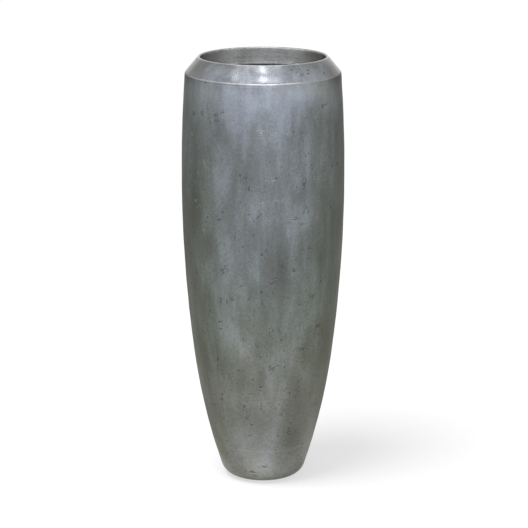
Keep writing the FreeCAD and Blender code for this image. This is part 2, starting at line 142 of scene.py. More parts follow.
def hand_finish(piece, seams, wave_height, wave_length, scars, nicks, patches, seed):
    """Gives a turned piece the marks of hand work: shallow waves, dark scars, bright nicks, soft patches.
    A scar or nick is (azimuth, height, length, width, tilt), and a patch (azimuth, height, half width,
    half height, tone), in degrees and millimetres, with azimuth 0 at the front, growing to the right. The
    waves and the heights of the seams, where the waves fade out, are in metres. The metal reads three
    attributes: dirt, which is below 0 in nicks, the patches' tone, and strokes, which is the way along a
    mark, the way beside it and its strength, below 0 in nicks too."""
    mesh = piece.data
    seam_fade = 25         # from a seam to where the waves are whole
    mark_margin = 4        # faces this near a mark are divided
    cut_share = 0.38       # half of the cut, as a share of the mark's width
    cut_depth = 0.15       # of a mark 1 mm wide
    stroke_reach = 1.7     # where a mark's fine lines end, in half lengths of the mark
    stroke_fade = 1.2      # over how much of that they fade out
    stroke_limit = 4.0     # further than this from every mark, a place counts as far off
    stroke_spacing = 61    # keeps the fine lines of one mark unlike those of the next
    far_off = 99           # strokes where there is no mark

    def unrolled(items, place):
        """Where vertices or faces are, on the surface rolled out flat, and how far each faces outwards."""
        points = np.empty(len(items) * 3, np.float32)
        normals = np.empty(len(items) * 3, np.float32)
        items.foreach_get(place, points)
        items.foreach_get("normal", normals)
        normals = normals.reshape(-1, 3)
        x, y, z = points.reshape(-1, 3).T * 1000
        radius = np.hypot(x, y)
        outwards = (x * normals[:, 0] + y * normals[:, 1]) / np.maximum(radius, 0.001)
        return points, normals, np.degrees(np.arctan2(x, -y)), z, radius, outwards

    def round_from(azimuth, middle):
        """Azimuth measured from a middle, in degrees from -180 to 180."""
        return (azimuth - middle + 180) % 360 - 180

    def beside(mark, azimuth, height, radius):
        """How far places lie along a mark from its middle and how far beside it, in millimetres."""
        middle, level, _, _, tilt = mark
        across = np.radians(round_from(azimuth, middle)) * radius
        above = height - level
        lean = math.radians(tilt)
        along = across * math.cos(lean) + above * math.sin(lean)
        return along, above * math.cos(lean) - across * math.sin(lean)

    _, _, azimuth, height, radius, outwards = unrolled(mesh.vertices, "co")
    give = np.clip(outwards, 0, 1)
    for seam in seams:
        give *= np.clip(np.abs(height - seam * 1000) / seam_fade, 0, 1)
    loose = piece.vertex_groups.new(name="loose")
    for index in np.flatnonzero(give > 0.001).tolist():
        loose.add([index], float(give[index]), "REPLACE")
    waves = bpy.data.textures.new(piece.name + "_waves", "CLOUDS")
    waves.noise_scale = wave_length
    waves.noise_depth = 1
    bpy.context.view_layer.objects.active = piece
    ripple = piece.modifiers.new("waves", "DISPLACE")
    ripple.texture = waves
    ripple.texture_coords = "LOCAL"
    ripple.vertex_group = loose.name
    ripple.mid_level = 1.0
    ripple.strength = wave_height
    bpy.ops.object.modifier_apply(modifier=ripple.name)

    _, _, azimuth, height, radius, outwards = unrolled(mesh.polygons, "center")
    near = np.zeros(len(mesh.polygons), bool)
    for mark in scars + nicks:
        _, _, length, width, _ = mark
        along, off = beside(mark, azimuth, height, radius)
        within = (np.abs(along) < length / 2 + mark_margin) & (np.abs(off) < width / 2 + mark_margin)
        near |= (outwards > 0) & within
    bpy.ops.object.mode_set(mode="EDIT")
    bpy.ops.mesh.select_mode(type="FACE")
    bpy.ops.mesh.select_all(action="DESELECT")
    bpy.ops.object.mode_set(mode="OBJECT")
    mesh.polygons.foreach_set("select", near)
    bpy.ops.object.mode_set(mode="EDIT")
    bpy.ops.mesh.subdivide(number_cuts=3)
    bpy.ops.object.mode_set(mode="OBJECT")

    points, normals, azimuth, height, radius, outwards = unrolled(mesh.vertices, "co")
    sink = np.zeros(len(mesh.vertices))
    dirt = np.zeros(len(mesh.vertices))
    tone = np.zeros(len(mesh.vertices))
    strokes = np.full((len(mesh.vertices), 3), (far_off, far_off, 0), np.float32)
    nearest = np.full(len(mesh.vertices), stroke_limit)
    ragged = np.random.default_rng(seed)
    for marks, darkness, stain_share in ((scars, 1.0, 0.2), (nicks, -1.0, 0.4)):
        for number, mark in enumerate(marks):
            _, _, length, width, _ = mark
            ahead, beyond = beside(mark, azimuth, height, radius)
            along = ahead / (length / 2)
            off = beyond / (width * cut_share)
            wander = ragged.uniform(-0.6, 0.6) * np.sin(3.0 * along + ragged.uniform(0, 6))
            swell = 0.8 + 0.3 * np.sin(7.0 * along + ragged.uniform(0, 6))
            depth = np.clip(1.2 - np.hypot(along, (off - wander) / swell), 0, 1) * (outwards > 0)
            sink = np.maximum(sink, depth * cut_depth * width ** 0.7)
            strength = ragged.uniform(0.4, 1.0)
            stain = np.clip(depth * 1.7, 0, 1) * stain_share * strength
            dirt = np.where(stain > np.abs(dirt), darkness * stain, dirt)
            reach = np.hypot(along, beyond / (width + 0.5))
            closer = (reach < nearest) & (outwards > 0)
            nearest[closer] = reach[closer]
            window = darkness * np.clip((stroke_reach - reach) / stroke_fade, 0, 1) * strength
            lines = np.column_stack((ahead + stroke_spacing * number, beyond, window))
            strokes[closer] = lines[closer]
    for middle, level, half_width, half_height, patch_tone in patches:
        spread = (round_from(azimuth, middle) / half_width) ** 2 + ((height - level) / half_height) ** 2
        tone += patch_tone * np.exp(-spread / 1.4)
    mesh.vertices.foreach_set("co", points - (normals * (sink / 1000)[:, None]).ravel())
    mesh.attributes.new("dirt", "FLOAT", "POINT").data.foreach_set("value", dirt)
    mesh.attributes.new("tone", "FLOAT", "POINT").data.foreach_set("value", tone)
    mesh.attributes.new("strokes", "FLOAT_VECTOR", "POINT").data.foreach_set("vector", strokes.ravel())
    mesh.update()


def scattered(count, low, high, seed, left=70, right=290, longest=20):
    """Seeded scars between two heights and two azimuths, on the sides and back unless told otherwise."""
    draw = np.random.default_rng(seed)
    marks = []
    for _ in range(count):
        azimuth = draw.uniform(left, right)
        height = draw.uniform(low, high)
        length = draw.uniform(7, longest)
        width = draw.uniform(2.2, 4.6)
        tilt = draw.choice([draw.normal(75, 12), draw.normal(40, 15), draw.normal(-50, 15)])
        marks.append((azimuth, height, length, width, tilt))
    return marks


def grouped(groups, seed):
    """Seeded scars in loose groups. A group is (azimuth, height, how many, main tilt)."""
    draw = np.random.default_rng(seed)
    marks = []
    for middle, level, count, main_tilt in groups:
        for _ in range(count):
            azimuth = middle + draw.normal(0, 3.5)
            height = level + draw.normal(0, 8)
            length = draw.uniform(9, 24)
            width = draw.uniform(2.0, 3.8)
            tilt = main_tilt + draw.normal(0, 12)
            marks.append((azimuth, height, length, width, tilt))
    return marks


def scattered_patches(count, low, high, seed):
    """Seeded soft patches between two heights on the sides and back, light and dark in turn."""
    draw = np.random.default_rng(seed)
    patches = []
    for number in range(count):
        azimuth = draw.uniform(72, 288)
        height = draw.uniform(low, high)
        half_width = draw.uniform(7, 14)
        half_height = draw.uniform(30, 65)
        tone = (-1) ** number * draw.uniform(0.15, 0.4)
        patches.append((azimuth, height, half_width, half_height, tone))
    return patches


# Soft patches of tone, listed one by one: those of the foot and of the wall from low to high, lighter and
# darker; those of the wall just under the crease, a lighter band painted for the light that falls on the top
# of the barrel; and those of the collar, stains and patches at the back and, at the front, painted
# highlights and painted shade that shape the lamps' spots and darken the cone's flanks.
foot_patches = [
    (22, 40, 30, 30, 0.35), (230, 40, 14, 30, -0.3), (-32, 45, 10, 30, -0.25), (-14, 45, 16, 30, 0.3),
    (110, 50, 14, 30, -0.3), (-4, 55, 18, 30, 0.3), (26, 60, 12, 30, -0.3), (160, 60, 16, 40, 0.2),
    (-54, 75, 12, 40, 0.2), (-28, 122, 14, 40, 0.4), (0, 122, 12, 40, 0.2), (30, 125, 10, 30, -0.3),
    (60, 130, 10, 60, 0.3),
]
wall_patches = [
    (2, 170, 8, 25, -0.18), (22, 200, 7, 30, -0.15), (150, 200, 12, 50, -0.25), (-6, 262, 7, 20, -0.22),
    (180, 300, 12, 60, 0.2), (62, 320, 9, 50, -0.2), (270, 330, 12, 60, 0.2), (18, 355, 9, 30, 0.25),
    (-64, 365, 9, 70, -0.4), (-17, 365, 8, 40, 0.35), (17, 365, 9, 40, -0.25), (64, 380, 9, 70, -0.35),
    (-34, 395, 8, 25, 0.15), (130, 400, 12, 70, 0.25), (50, 425, 12, 20, 0.12), (5, 470, 10, 70, -0.22),
    (64, 480, 8, 50, -0.25), (-18, 487, 8, 40, 0.2), (37, 487, 8, 45, 0.25), (56, 500, 6, 30, -0.15),
    (75, 500, 10, 60, 0.3), (225, 500, 10, 80, -0.3), (12, 530, 7, 45, -0.26), (45, 560, 6, 30, -0.15),
    (-45, 590, 7, 30, -0.25), (28, 600, 9, 60, 0.3), (64, 600, 9, 90, -0.35), (-64, 610, 9, 60, -0.3),
    (10, 610, 20, 45, -0.35), (165, 620, 10, 80, -0.25), (65, 650, 10, 40, -0.3), (22, 660, 5, 40, 0.2),
    (-40, 670, 10, 50, 0.2), (-55, 680, 7, 60, -0.3), (8, 700, 7, 15, 0.15), (250, 700, 10, 70, 0.2),
    (-32, 740, 9, 40, 0.2), (16, 740, 8, 40, 0.15), (-15, 745, 8, 40, -0.18), (110, 750, 10, 80, -0.25),
    (10, 810, 8, 60, 0.15), (28, 810, 7, 50, 0.18), (200, 840, 14, 50, 0.25), (40, 850, 8, 40, -0.1),
    (-36, 855, 6, 30, -0.15),
]
shoulder_painted_light = [
    (58, 900, 10, 50, 0.15), (-22, 910, 14, 50, 0.42), (24, 910, 14, 50, 0.34), (-56, 925, 12, 30, 0.15),
    (-45, 925, 8, 30, 0.15), (0, 925, 32, 40, 0.22), (33, 942, 8, 22, 0.52), (48, 942, 7, 20, 0.2),
    (-57, 945, 9, 18, 0.25), (-38, 945, 14, 18, 0.28), (-21, 945, 6, 16, 0.5), (21, 945, 6, 16, 0.3),
]
collar_stains_and_painted_light = [
    (-24, 968, 4.5, 5, -0.4), (0, 972, 5, 3.5, 0.3), (156, 974, 10, 10, -0.4), (-72, 975, 14, 20, -0.7),
    (72, 975, 14, 20, -0.9), (136, 978, 9, 14, -0.3), (190, 978, 16, 14, -0.1), (-38, 980, 14, 14, 0.55),
    (0, 980, 14, 14, 0.16), (20, 980, 12, 14, 0.24), (40, 980, 10, 12, 0.18), (120, 980, 16, 14, 0.25),
    (240, 980, 14, 14, 0.2), (0, 981, 4, 3.2, -0.45), (0, 991, 5, 5, 0.25), (-66, 992, 12, 8, -0.3),
    (-23, 994, 4, 3, -0.3),
]
patches_and_painted_light = foot_patches + wall_patches + shoulder_painted_light + collar_stains_and_painted_light
patches_and_painted_light += scattered_patches(60, 60, 900, seed=31)
# The painted lighter band carried on round the shoulder at the sides and back.
patches_and_painted_light += [(azimuth, 925, 28, 40, 0.34) for azimuth in (80, 130, 180, 230, 280)]
pan_scar_groups = [(46, 83, 1, 50), (-29, 67, 2, 38), (0, 54, 1, -10), (-26, 40, 1, 68), (-14, 30, 2, 0)]
hand_finish(
    base_pan, [pan_seam], wave_height=0.0005, wave_length=0.05,
    scars=grouped(pan_scar_groups, seed=44) + scattered(18, 25, 85, seed=1),
    nicks=[(14, 62, 9, 3, 20)],
    patches=patches_and_painted_light, seed=2)


def put(tree, kind, inputs=(), **settings):
    """Adds a shader node with its settings, and fills its inputs with values or other nodes' outputs."""
    made = tree.nodes.new(kind if kind.startswith("NodeGroup") else "ShaderNode" + kind)
    for setting, value in settings.items():
        setattr(made, setting, value)
    for key, value in dict(inputs).items():
        if isinstance(value, bpy.types.NodeSocket):
            tree.links.new(value, made.inputs[key])
        else:
            made.inputs[key].default_value = value
    return made


def new_group(name, inputs, outputs):
    """An empty shader node group. Its inputs are (name, kind), and its outputs are names of values."""
    group = bpy.data.node_groups.new(name, "ShaderNodeTree")
    for socket, kind in inputs:
        group.interface.new_socket(name=socket, in_out="INPUT", socket_type="NodeSocket" + kind)
    for socket in outputs:
        group.interface.new_socket(name=socket, in_out="OUTPUT", socket_type="NodeSocketFloat")
    return group, put(group, "NodeGroupInput").outputs, put(group, "NodeGroupOutput").inputs


def math_node(tree, operation, *values):
    return put(tree, "Math", dict(enumerate(values)), operation=operation).outputs[0]


def times(tree, first, second):
    return math_node(tree, "MULTIPLY", first, second)


def larger(tree, first, second):
    return math_node(tree, "MAXIMUM", first, second)


def summed(tree, start, *parts):
    """A start value plus some parts, each (value, weight)."""
    total = start
    for value, weight in parts:
        total = math_node(tree, "MULTIPLY_ADD", value, weight, total)
    return total


def between(tree, value, low, high, to_low=0.0, to_high=1.0):
    """A smooth step from one value to another while the input goes from low to high."""
    limits = {"From Min": low, "From Max": high, "To Min": to_low, "To Max": to_high}
    return put(tree, "MapRange", {"Value": value, **limits}, interpolation_type="SMOOTHSTEP").outputs[0]


def noise(tree, vector, scale, detail, stretch=(1, 1, 1), roughness=0.5, distortion=0.0):
    """Soft noise over a pattern's coordinates, stretched along the axes that get a small factor."""
    spread = put(tree, "VectorMath", {0: vector, 1: stretch}, operation="MULTIPLY").outputs[0]
    shape = {"Scale": scale, "Detail": detail, "Roughness": roughness, "Distortion": distortion}
    return put(tree, "TexNoise", {"Vector": spread, **shape}).outputs["Fac"]


def colour_ramp(tree, value, *stops):
    """A colour that follows a value. Each stop is (value, colour), from low to high."""
    made = put(tree, "ValToRGB", {"Fac": value})
    elements = made.color_ramp.elements
    for element, (level, colour) in zip(elements, (stops[0], stops[-1])):
        element.position = level
        element.color = colour
    for level, colour in stops[1:-1]:
        elements.new(level).color = colour
    return made.outputs["Color"]


def mixed(tree, share, under, over, blend_type="MIX"):
    """A colour laid over another one by a share."""
    inputs = {0: share, 6: under, 7: over}
    return put(tree, "Mix", inputs, data_type="RGBA", blend_type=blend_type).outputs[2]


def new_material(name):
    """An empty node material, its node tree, and the object coordinates that its patterns read."""
    material = bpy.data.materials.new(name)
    material.use_nodes = True
    tree = material.node_tree
    tree.nodes.clear()
    return material, tree, put(tree, "TexCoord").outputs["Object"]


def end_material(tree, colour, roughness, metallic=0.0, bumps=None):
    """Ends a material with its surface. Bumps are (height, strength, distance)."""
    sockets = {"Base Color": colour, "Roughness": roughness, "Metallic": metallic}
    if bumps:
        height, strength, distance = bumps
        bump = put(tree, "Bump", {"Height": height, "Strength": strength, "Distance": distance})
        sockets["Normal"] = bump.outputs[0]
    shader = put(tree, "BsdfPrincipled", sockets)
    put(tree, "OutputMaterial", {"Surface": shader.outputs[0]})


# Effects that several finishes share: soft patterns from coarse to fine, and dark pits that come in crowds.
patterns = {
    "Cloud": dict(scale=13, detail=4, stretch=(1, 1, 0.5), roughness=0.55, distortion=0.5),
    "Streak": dict(scale=42, detail=3, stretch=(1, 1, 0.26), distortion=0.3),
    "Mottle": dict(scale=150, detail=4, roughness=0.6),
    "Grain": dict(scale=450, detail=3, roughness=0.6),
}
clouds, given, result = new_group("polish_clouds", [("Vector", "Vector")], patterns)
for pattern, look in patterns.items():
    clouds.links.new(noise(clouds, given["Vector"], **look), result[pattern])

pitting, given, result = new_group("pits", [("Vector", "Vector"), ("Amount", "Float")], ["Specks"])
at = given["Vector"]
stray = (0.008, 0.008, 0.008)
jitter = put(pitting, "TexNoise", {"Vector": at, "Scale": 130, "Detail": 2}).outputs["Color"]
jitter = put(pitting, "VectorMath", {0: jitter, 1: stray, 2: at}, operation="MULTIPLY_ADD").outputs[0]
speck = put(pitting, "TexVoronoi", {"Vector": jitter, "Scale": 150, "Randomness": 1.0}).outputs
chance = put(pitting, "SeparateColor", {"Color": speck["Color"]}).outputs["Red"]
present = between(pitting, chance, 0.84, 0.9)
dots = times(pitting, between(pitting, speck["Distance"], 0.16, 0.3, 1, 0), present)
crowded = math_node(pitting, "ADD", noise(pitting, at, 9, 2), given["Amount"])
pitting.links.new(times(pitting, dots, between(pitting, crowded, 0.98, 1.12)), result["Specks"])


def polish(tree, place):
    """The soft patterns, on a material's coordinates."""
    return put(tree, "Group", {"Vector": place}, node_tree=clouds).outputs


def pits_on(tree, place, amount):
    """The dark pits, on a material's coordinates, more of them where the amount is larger."""
    return put(tree, "Group", {"Vector": place, "Amount": amount}, node_tree=pitting).outputs["Specks"]


# The vessel's outside: worked and polished metal with a cloudy patina. A highlight is painted along the
# crease and on the lip, where the metal is smoother too; the collar is painted lighter, and the welds partly
# so.
metal, tree, place = new_material("hand_finished_aluminium")
crease_middle = crease_height - 0.0012
burr_offset = 1.6
hue_sway = 0.3    # how far the clouds move the patina's bands up and down, in all
# The colour of the painted highlight on the crease and the lip.
highlight_colour = (0.64, 0.65, 0.67, 1)
fresh_metal = (0.34, 0.355, 0.38, 1)
pit_black = (0.042, 0.044, 0.04, 1)
where = put(tree, "SeparateXYZ", {"Vector": place}).outputs
height = where["Z"]
rightwards = where["X"]
finish = polish(tree, place)
pits = pits_on(tree, place, between(tree, height, 0.9, 0.3, 0.42, 0.57))
dirt = put(tree, "Attribute", attribute_name="dirt").outputs["Fac"]
tone = put(tree, "Attribute", attribute_name="tone").outputs["Fac"]
strokes = put(tree, "Attribute", attribute_name="strokes").outputs["Vector"]
scarred = put(tree, "SeparateXYZ", {"Vector": strokes}).outputs["Z"]
worked = math_node(tree, "ABSOLUTE", scarred)


def dashes(offset):
    """Short fine lines along the marks, thickest in their middles, moved sideways by some millimetres."""
    moved = put(tree, "VectorMath", {0: strokes, 1: (0, offset, 0)}, operation="ADD").outputs[0]
    lines = noise(tree, moved, 1.0, 2, (0.11, 0.5, 0))
    lines = between(tree, summed(tree, lines, (worked, 0.24)), 0.62, 0.7)
    return times(tree, lines, between(tree, worked, 0.02, 0.25))


def line_at(level, core, end, strength):
    """A line round the vessel at a height, even to its core's edge and faded out at its end."""
    away = math_node(tree, "ABSOLUTE", math_node(tree, "SUBTRACT", height, level))
    return between(tree, away, core, end, strength, 0)


scar = larger(tree, scarred, 0.0)
nick = times(tree, math_node(tree, "MINIMUM", scarred, 0.0), -1.0)
nicked = between(tree, nick, 0.0, 0.1)
scar_share = summed(tree, between(tree, scar, 0.0, 0.5, 0, 0.7), (nicked, 0.35))
burr_share = summed(tree, between(tree, scar, 0.0, 0.1, 0, 0.3), (nicked, 0.65))
scratches = times(tree, dashes(0.0), scar_share)
burrs = times(tree, dashes(burr_offset), burr_share)
burrs = times(tree, burrs, math_node(tree, "SUBTRACT", 1.0, scratches))

# Lighter lines at the two welds: partly the ground weld metal, partly a painted highlight; the one at the
# collar fades out towards the right.
low_weld_sheen = line_at(pan_seam, 0.001, 0.005, 0.35)
high_weld_sheen = line_at(collar_seam, 0.0004, 0.0012, 0.8)
high_weld_sheen = times(tree, high_weld_sheen, between(tree, rightwards, -0.04, 0.01, 1, 0.3))
weld_sheen = times(tree, larger(tree, low_weld_sheen, high_weld_sheen), finish["Cloud"])
quiet = between(tree, height, 0.3, 0.08)
streak = put(tree, "Mix", {0: quiet, 2: finish["Streak"], 3: 0.5}).outputs[0]
shade = summed(tree, -0.735, (finish["Cloud"], 0.68), (streak, 0.65), (finish["Mottle"], 0.45),
               (finish["Grain"], 0.75), (tone, 0.65), (weld_sheen, 0.55))
# Painted light: the collar is made a little lighter all round, for the light that falls on its upturned
# cone.
painted_collar_light = between(tree, height, crease_height - 0.0055, crease_height + 0.0085, 0, 0.06)
shade = math_node(tree, "ADD", shade, painted_collar_light)
colour = colour_ramp(
    tree, times(tree, shade, 0.8),
    (0.0, (0.119, 0.114, 0.103, 1)),
    (0.4, (0.204, 0.21, 0.197, 1)),
    (0.8, (0.365, 0.388, 0.4, 1)),
    (1.0, (0.445, 0.477, 0.5, 1)))
# A hue that runs with height: warm low down and bluish high up. The blue high up is painted, standing in for
# the cool light that falls on the top.
swayed = math_node(tree, "SUBTRACT", height, hue_sway / 2)
swayed = summed(tree, swayed, (finish["Cloud"], hue_sway))
tarnish_and_painted_blue = colour_ramp(
    tree, swayed,
    (0.03, (0.83, 0.805, 0.73, 1)),
    (0.1, (0.808, 0.8, 0.782, 1)),
    (0.25, (0.803, 0.8, 0.768, 1)),
    (0.36, (0.758, 0.8, 0.765, 1)),
    (0.48, (0.742, 0.8, 0.822, 1)),
    (0.64, (0.746, 0.8, 0.856, 1)),
    (0.8, (0.755, 0.8, 0.888, 1)),
    (0.92, (0.775, 0.8, 0.91, 1)),
    (0.965, (0.798, 0.8, 0.86, 1)))
tinted = mixed(tree, 1.0, colour, tarnish_and_painted_blue, "MULTIPLY")

# Painted highlight: a bright line along the crease, faded out towards the right and the left, and a bright
# band on the lip. The same mask makes the metal there smoother.
crease = line_at(crease_middle, 0.0005, 0.0024, 1.0)
crease = times(tree, crease, between(tree, rightwards, 0.055, 0.1, 1, 0.15))
crease = times(tree, crease, between(tree, rightwards, -0.07, -0.1, 1, 0.45))
lip = between(tree, height, planter_height - 0.0022, planter_height - 0.0006, 0, 0.4)
highlight_and_polish = times(tree, larger(tree, crease, lip), between(tree, finish["Mottle"], 0.25, 0.5, 0.4, 1))
polished = mixed(tree, highlight_and_polish, tinted, highlight_colour)
soil = larger(tree, larger(tree, pits, scratches), dirt)
soiled = mixed(tree, times(tree, soil, 0.92), polished, pit_black)
bared = mixed(tree, larger(tree, between(tree, dirt, -0.15, -0.7), burrs), soiled, fresh_metal)

gloss = summed(tree, 0.29, (finish["Mottle"], 0.14), (soil, 0.25))
smoother_collar = between(tree, height, crease_height - 0.0065, crease_height + 0.0065, 1, 0.6)
gloss = summed(tree, times(tree, gloss, smoother_collar), (highlight_and_polish, -0.08))
relief = summed(tree, finish["Mottle"], (finish["Grain"], 0.25), (soil, -0.6))
flatter_collar = between(tree, height, crease_height - 0.0065, crease_height + 0.0025, 1, 0.3)
end_material(tree, bared, gloss, 1.0, (times(tree, relief, flatter_collar), 0.3, 0.0008))

# The vessel's inside: raw metal with the rings of turning. Below the collar it is painted nearly black, the
# shade deep inside, and towards the left and right it is painted darker and browner, the shade at the
# mouth's sides.
raw, tree, place = new_material("raw_inside")
pit_and_shade_dark = (0.04, 0.038, 0.033, 1)
side_shade_brown = (0.075, 0.06, 0.03, 1)
where = put(tree, "SeparateXYZ", {"Vector": place}).outputs
finish = polish(tree, place)
tone = put(tree, "Attribute", attribute_name="tone").outputs["Fac"]
pits = pits_on(tree, place, summed(tree, 0.64, (tone, -0.5)))
rings = noise(tree, place, 60, 4, (0.08, 0.08, 6))
shade = summed(tree, -0.55, (finish["Cloud"], 0.9), (finish["Mottle"], 0.7), (rings, 0.5), (tone, 0.4))
colour = colour_ramp(tree, shade, (0.2, (0.22, 0.206, 0.188, 1)), (0.8, (0.55, 0.527, 0.5, 1)))
# Painted shade: below the collar's weld the inside is made nearly black; the pits darken it too.
painted_shade_below_collar = between(tree, where["Z"], collar_seam + 0.0025, collar_seam - 0.001, 0, 0.92)
pits_and_painted_shade = larger(tree, times(tree, pits, 0.6), painted_shade_below_collar)
# Painted shade: the inside is made darker and browner towards the left and the right.
sides = between(tree, math_node(tree, "ABSOLUTE", where["X"]), 0.06, 0.135, 0, 0.55)
stained_and_shaded = mixed(tree, sides, mixed(tree, pits_and_painted_shade, colour, pit_and_shade_dark), side_shade_brown)
dull = summed(tree, 0.55, (finish["Mottle"], 0.2))
relief = summed(tree, rings, (finish["Grain"], 0.5))
end_material(tree, stained_and_shaded, dull, 0.05, (relief, 0.3, 0.0006))


def clad(piece):
    """Gives a piece of the vessel the polished metal outside and on its lip, and the raw metal inside."""
    lip_start = planter_height - 0.0016
    piece.data.materials.append(metal)
    piece.data.materials.append(raw)
    for face in piece.data.polygons:
        radial = face.center.x * face.normal.x + face.center.y * face.normal.y
        face.material_index = 1 if radial < -0.001 and face.center.z < lip_start else 0


clad(base_pan)
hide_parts("base_pan")
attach(base_pan, "vessel")

# Foot ring: a flat ring of black rubber that the planter stands on, pressed into the groove under the pan.
# It is nearly hidden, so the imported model's own mesh is shown.
rubber, tree, place = new_material("black_rubber")
finish = polish(tree, place)
shade = summed(tree, 0.0, (finish["Mottle"], 0.5), (finish["Grain"], 0.5))
colour = colour_ramp(tree, shade, (0.3, (0.018, 0.018, 0.019, 1)), (0.75, (0.05, 0.05, 0.049, 1)))
dull = summed(tree, 0.55, (finish["Mottle"], 0.25))
end_material(tree, colour, dull, bumps=(finish["Grain"], 0.25, 0.0004))


def finish_node(node, material):
    """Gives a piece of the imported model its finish."""
    piece = frame["nodes"][node]
    piece.data.materials.clear()
    piece.data.materials.append(material)


finish_node("foot_ring", rubber)

# Body wall: the barrel of the vessel, turned from aluminium and finished by hand, so that it keeps soft
# clouds, scars and pits. It is welded to the base pan below and to the collar above.
wall_top = outer_point(barrel_hub, barrel_radius, collar_seam)
body_wall = turned_piece("body_wall_turned", pan_edge, [
    (hip, 40, flank_hub),
    (wall_top, 124, barrel_hub),
    (outer_point(barrel_hub, barrel_radius - wall_thickness, collar_seam), 1),
    (hip + inward_at_hip * wall_thickness, 20, barrel_hub),
    (inner_pan_edge, 8, flank_hub),
    (pan_edge, 1),
], 200)
wall_scar_groups = [
    (-48, 910, 2, 65), (-34, 890, 3, 20), (25, 850, 1, 25), (-12, 740, 4, 80), (25, 730, 3, 60),
    (34, 680, 3, 45), (-4, 650, 1, 85), (-35, 670, 3, 15), (20, 645, 2, 30), (-16, 620, 1, 85),
    (35, 577, 2, 15), (-30, 532, 5, 35), (-52, 510, 3, 70), (4, 515, 2, 10), (-25, 470, 6, 75),
    (-5, 460, 5, 80), (36, 470, 4, 30), (-48, 430, 2, 75), (-34, 400, 2, 10), (15, 400, 2, 80),
    (50, 385, 2, 20), (-2, 350, 3, -60), (34, 345, 3, -30), (-42, 320, 2, 75), (10, 310, 6, 45),
    (-18, 295, 2, 25), (-5, 256, 4, 10), (25, 250, 2, 30), (57, 265, 1, 0), (-40, 225, 2, 0),
    (16, 229, 1, -20), (55, 190, 2, 30), (-14, 165, 2, -45), (30, 179, 1, 0), (26, 125, 5, 35),
    (-43, 102, 1, 15), (9, 95, 1, 15), (50, 93, 1, 15),
]
wall_nick_groups = [
    (-13, 914, 1, -45), (3, 899, 1, 0), (1, 849, 1, 0), (-29, 877, 2, -30), (-45, 775, 2, -45),
    (0, 738, 1, 15), (120, 880, 1, 40), (200, 760, 1, -35), (250, 910, 1, 10), (165, 560, 1, 60),
]
wall_scars = grouped(wall_scar_groups, seed=38)
wall_scars += scattered(76, 100, 900, seed=3)
wall_scars += scattered(110, 110, 900, seed=29, left=68, right=292, longest=11)
wall_scars += scattered(48, 110, 640, seed=11, left=-68, right=68, longest=11)
wall_scars += scattered(24, 600, 930, seed=17, left=-68, right=-38, longest=12)
wall_scars += scattered(10, 640, 930, seed=19, left=38, right=68, longest=11)
wall_nicks = grouped(wall_nick_groups, seed=41)
wall_nicks += scattered(10, 620, 900, seed=26, left=-66, right=-42, longest=10)
wall_nicks += [(0, 695, 12, 5.0, 30), (12, 704, 28, 1.2, 5), (14, 699, 22, 1.2, 7)]
hand_finish(
    body_wall, [pan_seam, collar_seam], wave_height=0.0008, wave_length=0.05,
    scars=wall_scars, nicks=wall_nicks, patches=patches_and_painted_light, seed=4)
clad(body_wall)
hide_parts("body_wall")
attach(body_wall, "vessel")

# Shoulder collar: a coned aluminium ring with a crisp shoulder and a full round lip.
# A short skirt under the shoulder is welded to the wall.
collar_run = 0.028             # how far the cone leans in on its way up to the lip
shoulder_round = 0.008
inner_shoulder_round = 0.004
lip_round = 0.003
collar_thickness = 2 * lip_round
crease_point = np.array((belly_radius - shoulder_inset, crease_height))
lip_height = planter_height - lip_round
cone = np.array((-collar_run, lip_height - crease_height))
cone /= np.linalg.norm(cone)
cone_outward = np.array((cone[1], -cone[0]))


def shoulder_hub(depth):
    """The point at the shoulder that lies this deep under both the cone and the barrel."""
    start = crease_point - cone_outward * depth
    nearest = start + cone * ((barrel_hub - start) @ cone)
    half_chord = math.sqrt((barrel_radius - depth) ** 2 - np.sum((nearest - barrel_hub) ** 2))
    return nearest - cone * half_chord


outer_hub = shoulder_hub(shoulder_round)
inner_hub = shoulder_hub(collar_thickness + inner_shoulder_round)
under_crease = crease_point - cone_outward * lip_round
lip_hub = under_crease + cone * ((lip_height - under_crease[1]) / cone[1])
shoulder_collar = turned_piece("shoulder_collar_turned", wall_top, [
    (point_towards(barrel_hub, barrel_radius, outer_hub), 3, barrel_hub),
    (outer_hub + cone_outward * shoulder_round, 8, outer_hub),
    (lip_hub + cone_outward * lip_round, 14),
    ((lip_hub[0], planter_height), 5, lip_hub),
    (lip_hub - cone_outward * lip_round, 9, lip_hub),
    (inner_hub + cone_outward * inner_shoulder_round, 8),
    (point_towards(barrel_hub, barrel_radius - collar_thickness, inner_hub), 4, inner_hub),
    (outer_point(barrel_hub, barrel_radius - collar_thickness, collar_seam), 2, barrel_hub),
    (wall_top, 1),
], 256)
collar_scars = [
    (28, 985, 11, 1.4, 20), (33, 982, 12, 1.2, -15), (37, 980, 11, 1.2, 10), (31, 978, 9, 1.2, 30),
    (-45, 957, 16, 3.0, 14), (-30, 968, 6, 1.6, 0), (54, 975, 9, 1.6, 40), (30, 990, 10, 1.2, -10),
    (39, 986, 13, 1.4, 5), (24, 989, 10, 1.2, 0),
]
hand_finish(
    shoulder_collar, [collar_seam], wave_height=0.0005, wave_length=0.02,
    scars=collar_scars + scattered(16, 968, 994, seed=5, longest=10),
    nicks=[(-12, 986, 7, 2.6, 10)],
    patches=patches_and_painted_light, seed=6)
clad(shoulder_collar)
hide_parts("shoulder_collar")
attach(shoulder_collar, "vessel")

